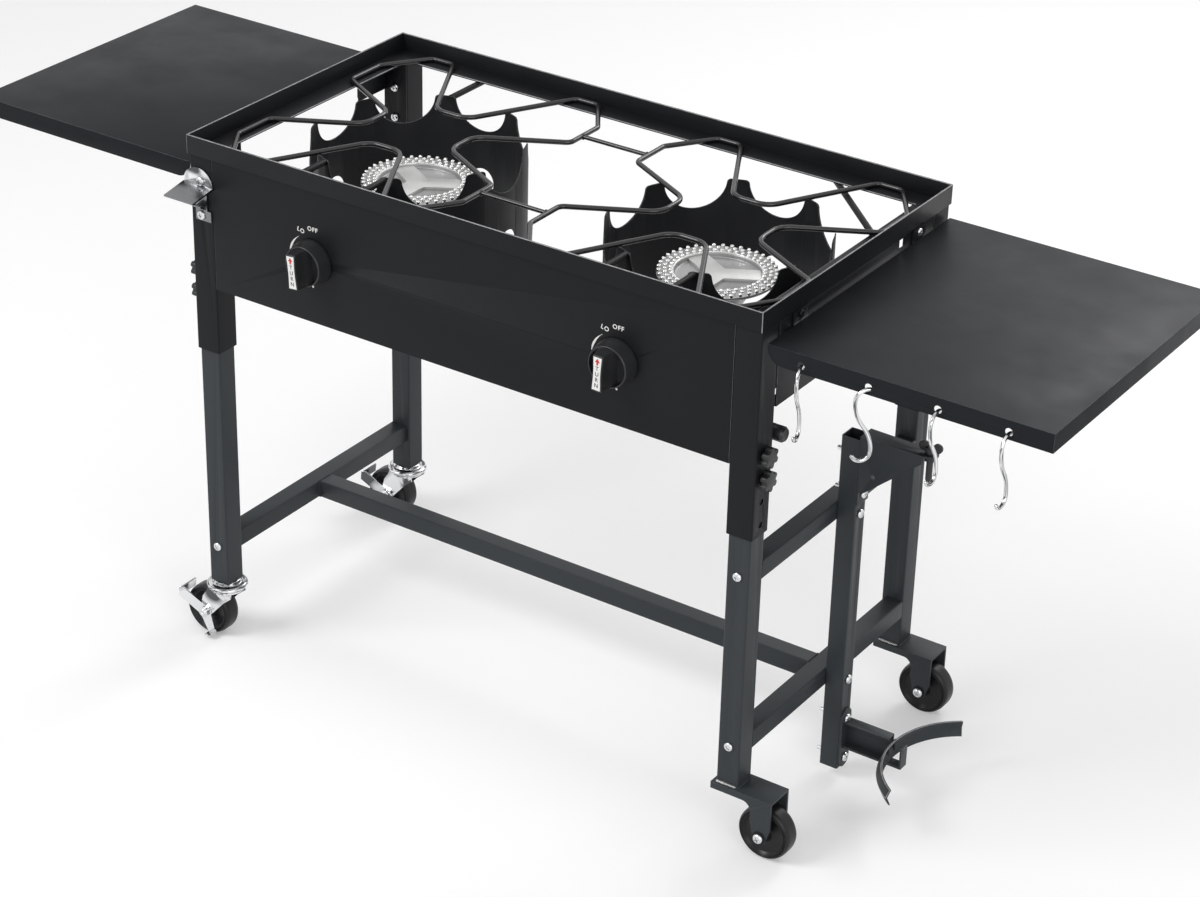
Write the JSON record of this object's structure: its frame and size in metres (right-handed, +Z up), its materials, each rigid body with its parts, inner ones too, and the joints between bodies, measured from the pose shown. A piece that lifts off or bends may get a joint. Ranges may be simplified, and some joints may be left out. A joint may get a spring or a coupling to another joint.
{
  "type": "propane burner stand",
  "caption": "Wheeled outdoor gas cooking stand: wire grate over guarded burners, control knobs, folding side shelves with hooks, telescoping legs and a gas bottle holder.",
  "frame": {"origin": "on the floor, under the middle of the whole object's box, with the legs at their lowest and the shelves open", "axes": "+X along the stand to the gas bottle holder, +Y to the back, away from the knobs, +Z up"},
  "size_m": [1.524, 0.4766, 0.718],
  "materials": {
    "frame_paint": "satin black paint on steel tube",
    "panel_paint": "fine-grained satin black powder coat",
    "guard_paint": "matte black heat-resistant paint",
    "wire_paint": "satin black enamel on wire",
    "cast_aluminium": "bright as-cast metal",
    "zinc": "bright zinc plate",
    "chrome": "polished chrome plate",
    "wheel_rubber": "smooth hard black rubber",
    "brass": "machined brass",
    "black_plastic": "moulded black plastic"
  },
  "bodies": {
    "base": {"lower_leg_fl": "frame_paint", "lower_leg_fr": "frame_paint", "lower_leg_rl": "frame_paint", "lower_leg_rr": "frame_paint", "side_rails": "frame_paint", "stretcher": "frame_paint", "frame_bolts": "zinc", "tank_post": "frame_paint", "tank_bracket": "frame_paint", "cradle_arm": "frame_paint", "cradle_strap": "frame_paint", "wheel_brackets": "frame_paint", "axle_bolts": "zinc", "caster_races": "chrome"},
    "top": {"top_rim": "panel_paint", "front_panel": "panel_paint", "side_panels": "panel_paint", "upper_leg_fl": "panel_paint", "upper_leg_fr": "panel_paint", "upper_leg_rl": "panel_paint", "upper_leg_rr": "panel_paint", "corner_gussets": "panel_paint", "guard_left": "guard_paint", "guard_right": "guard_paint", "burner_left": "cast_aluminium", "burner_right": "cast_aluminium", "guard_rods": "guard_paint", "gas_valves": "brass", "gas_pipe": "frame_paint", "gas_inlet": "brass", "bottle_opener": "chrome", "top_screws": "zinc", "shelf_brackets": "panel_paint"},
    "grate": {"grate": "wire_paint"},
    "knob_left": {"knob_left": "black_plastic"},
    "knob_right": {"knob_right": "black_plastic"},
    "inlet_cap": {"inlet_cap": "black_plastic"},
    "shelf_left": {"shelf_left": "panel_paint"},
    "shelf_right": {"shelf_right": "panel_paint"},
    "wing_screw": {"wing_screw": "black_plastic"},
    "hook_1": {"hook_1": "chrome"},
    "hook_2": {"hook_2": "chrome"},
    "hook_3": {"hook_3": "chrome"},
    "hook_4": {"hook_4": "chrome"},
    "star_fl_upper": {"star_fl_upper": "black_plastic"},
    "star_fl_lower": {"star_fl_lower": "black_plastic"},
    "star_fr_upper": {"star_fr_upper": "black_plastic"},
    "star_fr_lower": {"star_fr_lower": "black_plastic"},
    "star_rl_upper": {"star_rl_upper": "black_plastic"},
    "star_rl_lower": {"star_rl_lower": "black_plastic"},
    "star_rr_upper": {"star_rr_upper": "black_plastic"},
    "star_rr_lower": {"star_rr_lower": "black_plastic"},
    "wheel_front": {"wheel_front": "wheel_rubber"},
    "caster_fork_front": {"caster_fork_front": "chrome"},
    "caster_wheel_front": {"caster_wheel_front": "wheel_rubber"},
    "brake_lever_front": {"brake_lever_front": "chrome"},
    "wheel_rear": {"wheel_rear": "wheel_rubber"},
    "caster_fork_rear": {"caster_fork_rear": "chrome"},
    "caster_wheel_rear": {"caster_wheel_rear": "wheel_rubber"},
    "brake_lever_rear": {"brake_lever_rear": "chrome"}
  },
  "joints": [
    {"name": "height", "type": "slide", "parent": "base", "child": "top", "axis": [0, 0, 1], "range_m": [0, 0.06]},
    {"name": "grate_lift", "type": "slide", "parent": "top", "child": "grate", "axis": [0, 0, 1], "range_m": [0, 0.06]},
    {"name": "knob_left_turn", "type": "hinge", "parent": "top", "child": "knob_left", "pos_m": [-0.22, -0.19825, 0.6], "axis": [0, -1, 0], "range_deg": [0, 230]},
    {"name": "knob_right_turn", "type": "hinge", "parent": "top", "child": "knob_right", "pos_m": [0.22, -0.19825, 0.6], "axis": [0, -1, 0], "range_deg": [0, 230]},
    {"name": "inlet_cap_pull", "type": "slide", "parent": "top", "child": "inlet_cap", "axis": [1, 0, 0], "range_m": [0, 0.04]},
    {"name": "shelf_left_fold", "type": "hinge", "parent": "top", "child": "shelf_left", "pos_m": [-0.43, 0.01425, 0.666], "axis": [0, -1, 0], "range_deg": [0, 80]},
    {"name": "shelf_right_fold", "type": "hinge", "parent": "top", "child": "shelf_right", "pos_m": [0.43, 0.01425, 0.666], "axis": [0, 1, 0], "range_deg": [0, 55]},
    {"name": "hook_1_swing", "type": "hinge", "parent": "shelf_right", "child": "hook_1", "pos_m": [0.456, -0.19315, 0.66375], "axis": [0, 1, 0], "range_deg": [-55, 0]},
    {"name": "hook_2_swing", "type": "hinge", "parent": "shelf_right", "child": "hook_2", "pos_m": [0.5405, -0.19315, 0.66375], "axis": [0, 1, 0], "range_deg": [-55, 0]},
    {"name": "hook_3_swing", "type": "hinge", "parent": "shelf_right", "child": "hook_3", "pos_m": [0.625, -0.19315, 0.66375], "axis": [0, 1, 0], "range_deg": [-55, 0]},
    {"name": "hook_4_swing", "type": "hinge", "parent": "shelf_right", "child": "hook_4", "pos_m": [0.7095, -0.19315, 0.66375], "axis": [0, 1, 0], "range_deg": [-55, 0]},
    {"name": "wing_screw_turn", "type": "hinge", "parent": "base", "child": "wing_screw", "pos_m": [0.5175, 0.01425, 0.484], "axis": [0, 0, 1], "continuous": true},
    {"name": "star_fl_upper_turn", "type": "hinge", "parent": "top", "child": "star_fl_upper", "pos_m": [-0.409, -0.18075, 0.532], "axis": [-1, 0, 0], "continuous": true},
    {"name": "star_fl_lower_turn", "type": "hinge", "parent": "top", "child": "star_fl_lower", "pos_m": [-0.409, -0.18075, 0.502], "axis": [-1, 0, 0], "continuous": true},
    {"name": "star_fr_upper_turn", "type": "hinge", "parent": "top", "child": "star_fr_upper", "pos_m": [0.409, -0.18075, 0.532], "axis": [1, 0, 0], "continuous": true},
    {"name": "star_fr_lower_turn", "type": "hinge", "parent": "top", "child": "star_fr_lower", "pos_m": [0.409, -0.18075, 0.502], "axis": [1, 0, 0], "continuous": true},
    {"name": "star_rl_upper_turn", "type": "hinge", "parent": "top", "child": "star_rl_upper", "pos_m": [-0.409, 0.20925, 0.532], "axis": [-1, 0, 0], "continuous": true},
    {"name": "star_rl_lower_turn", "type": "hinge", "parent": "top", "child": "star_rl_lower", "pos_m": [-0.409, 0.20925, 0.502], "axis": [-1, 0, 0], "continuous": true},
    {"name": "star_rr_upper_turn", "type": "hinge", "parent": "top", "child": "star_rr_upper", "pos_m": [0.409, 0.20925, 0.532], "axis": [1, 0, 0], "continuous": true},
    {"name": "star_rr_lower_turn", "type": "hinge", "parent": "top", "child": "star_rr_lower", "pos_m": [0.409, 0.20925, 0.502], "axis": [1, 0, 0], "continuous": true},
    {"name": "wheel_front_roll", "type": "hinge", "parent": "base", "child": "wheel_front", "pos_m": [0.442, -0.18075, 0.035], "axis": [0, 1, 0], "continuous": true},
    {"name": "caster_front_swivel", "type": "hinge", "parent": "base", "child": "caster_fork_front", "pos_m": [-0.3915, -0.18075, 0.078], "axis": [0, 0, 1], "continuous": true},
    {"name": "caster_wheel_front_roll", "type": "hinge", "parent": "caster_fork_front", "child": "caster_wheel_front", "pos_m": [-0.4175, -0.18075, 0.035], "axis": [0, 1, 0], "continuous": true},
    {"name": "brake_front_press", "type": "hinge", "parent": "caster_fork_front", "child": "brake_lever_front", "pos_m": [-0.4175, -0.18075, 0.035], "axis": [0, -1, 0], "range_deg": [0, 15]},
    {"name": "wheel_rear_roll", "type": "hinge", "parent": "base", "child": "wheel_rear", "pos_m": [0.442, 0.20925, 0.035], "axis": [0, 1, 0], "continuous": true},
    {"name": "caster_rear_swivel", "type": "hinge", "parent": "base", "child": "caster_fork_rear", "pos_m": [-0.3915, 0.20925, 0.078], "axis": [0, 0, 1], "continuous": true},
    {"name": "caster_wheel_rear_roll", "type": "hinge", "parent": "caster_fork_rear", "child": "caster_wheel_rear", "pos_m": [-0.4175, 0.20925, 0.035], "axis": [0, 1, 0], "continuous": true},
    {"name": "brake_rear_press", "type": "hinge", "parent": "caster_fork_rear", "child": "brake_lever_rear", "pos_m": [-0.4175, 0.20925, 0.035], "axis": [0, -1, 0], "range_deg": [0, 15]}
  ],
  "couplings": [
    {"joint": "hook_1_swing", "follows": "shelf_right_fold", "ratio": -1},
    {"joint": "hook_2_swing", "follows": "shelf_right_fold", "ratio": -1},
    {"joint": "hook_3_swing", "follows": "shelf_right_fold", "ratio": -1},
    {"joint": "hook_4_swing", "follows": "shelf_right_fold", "ratio": -1}
  ]
}
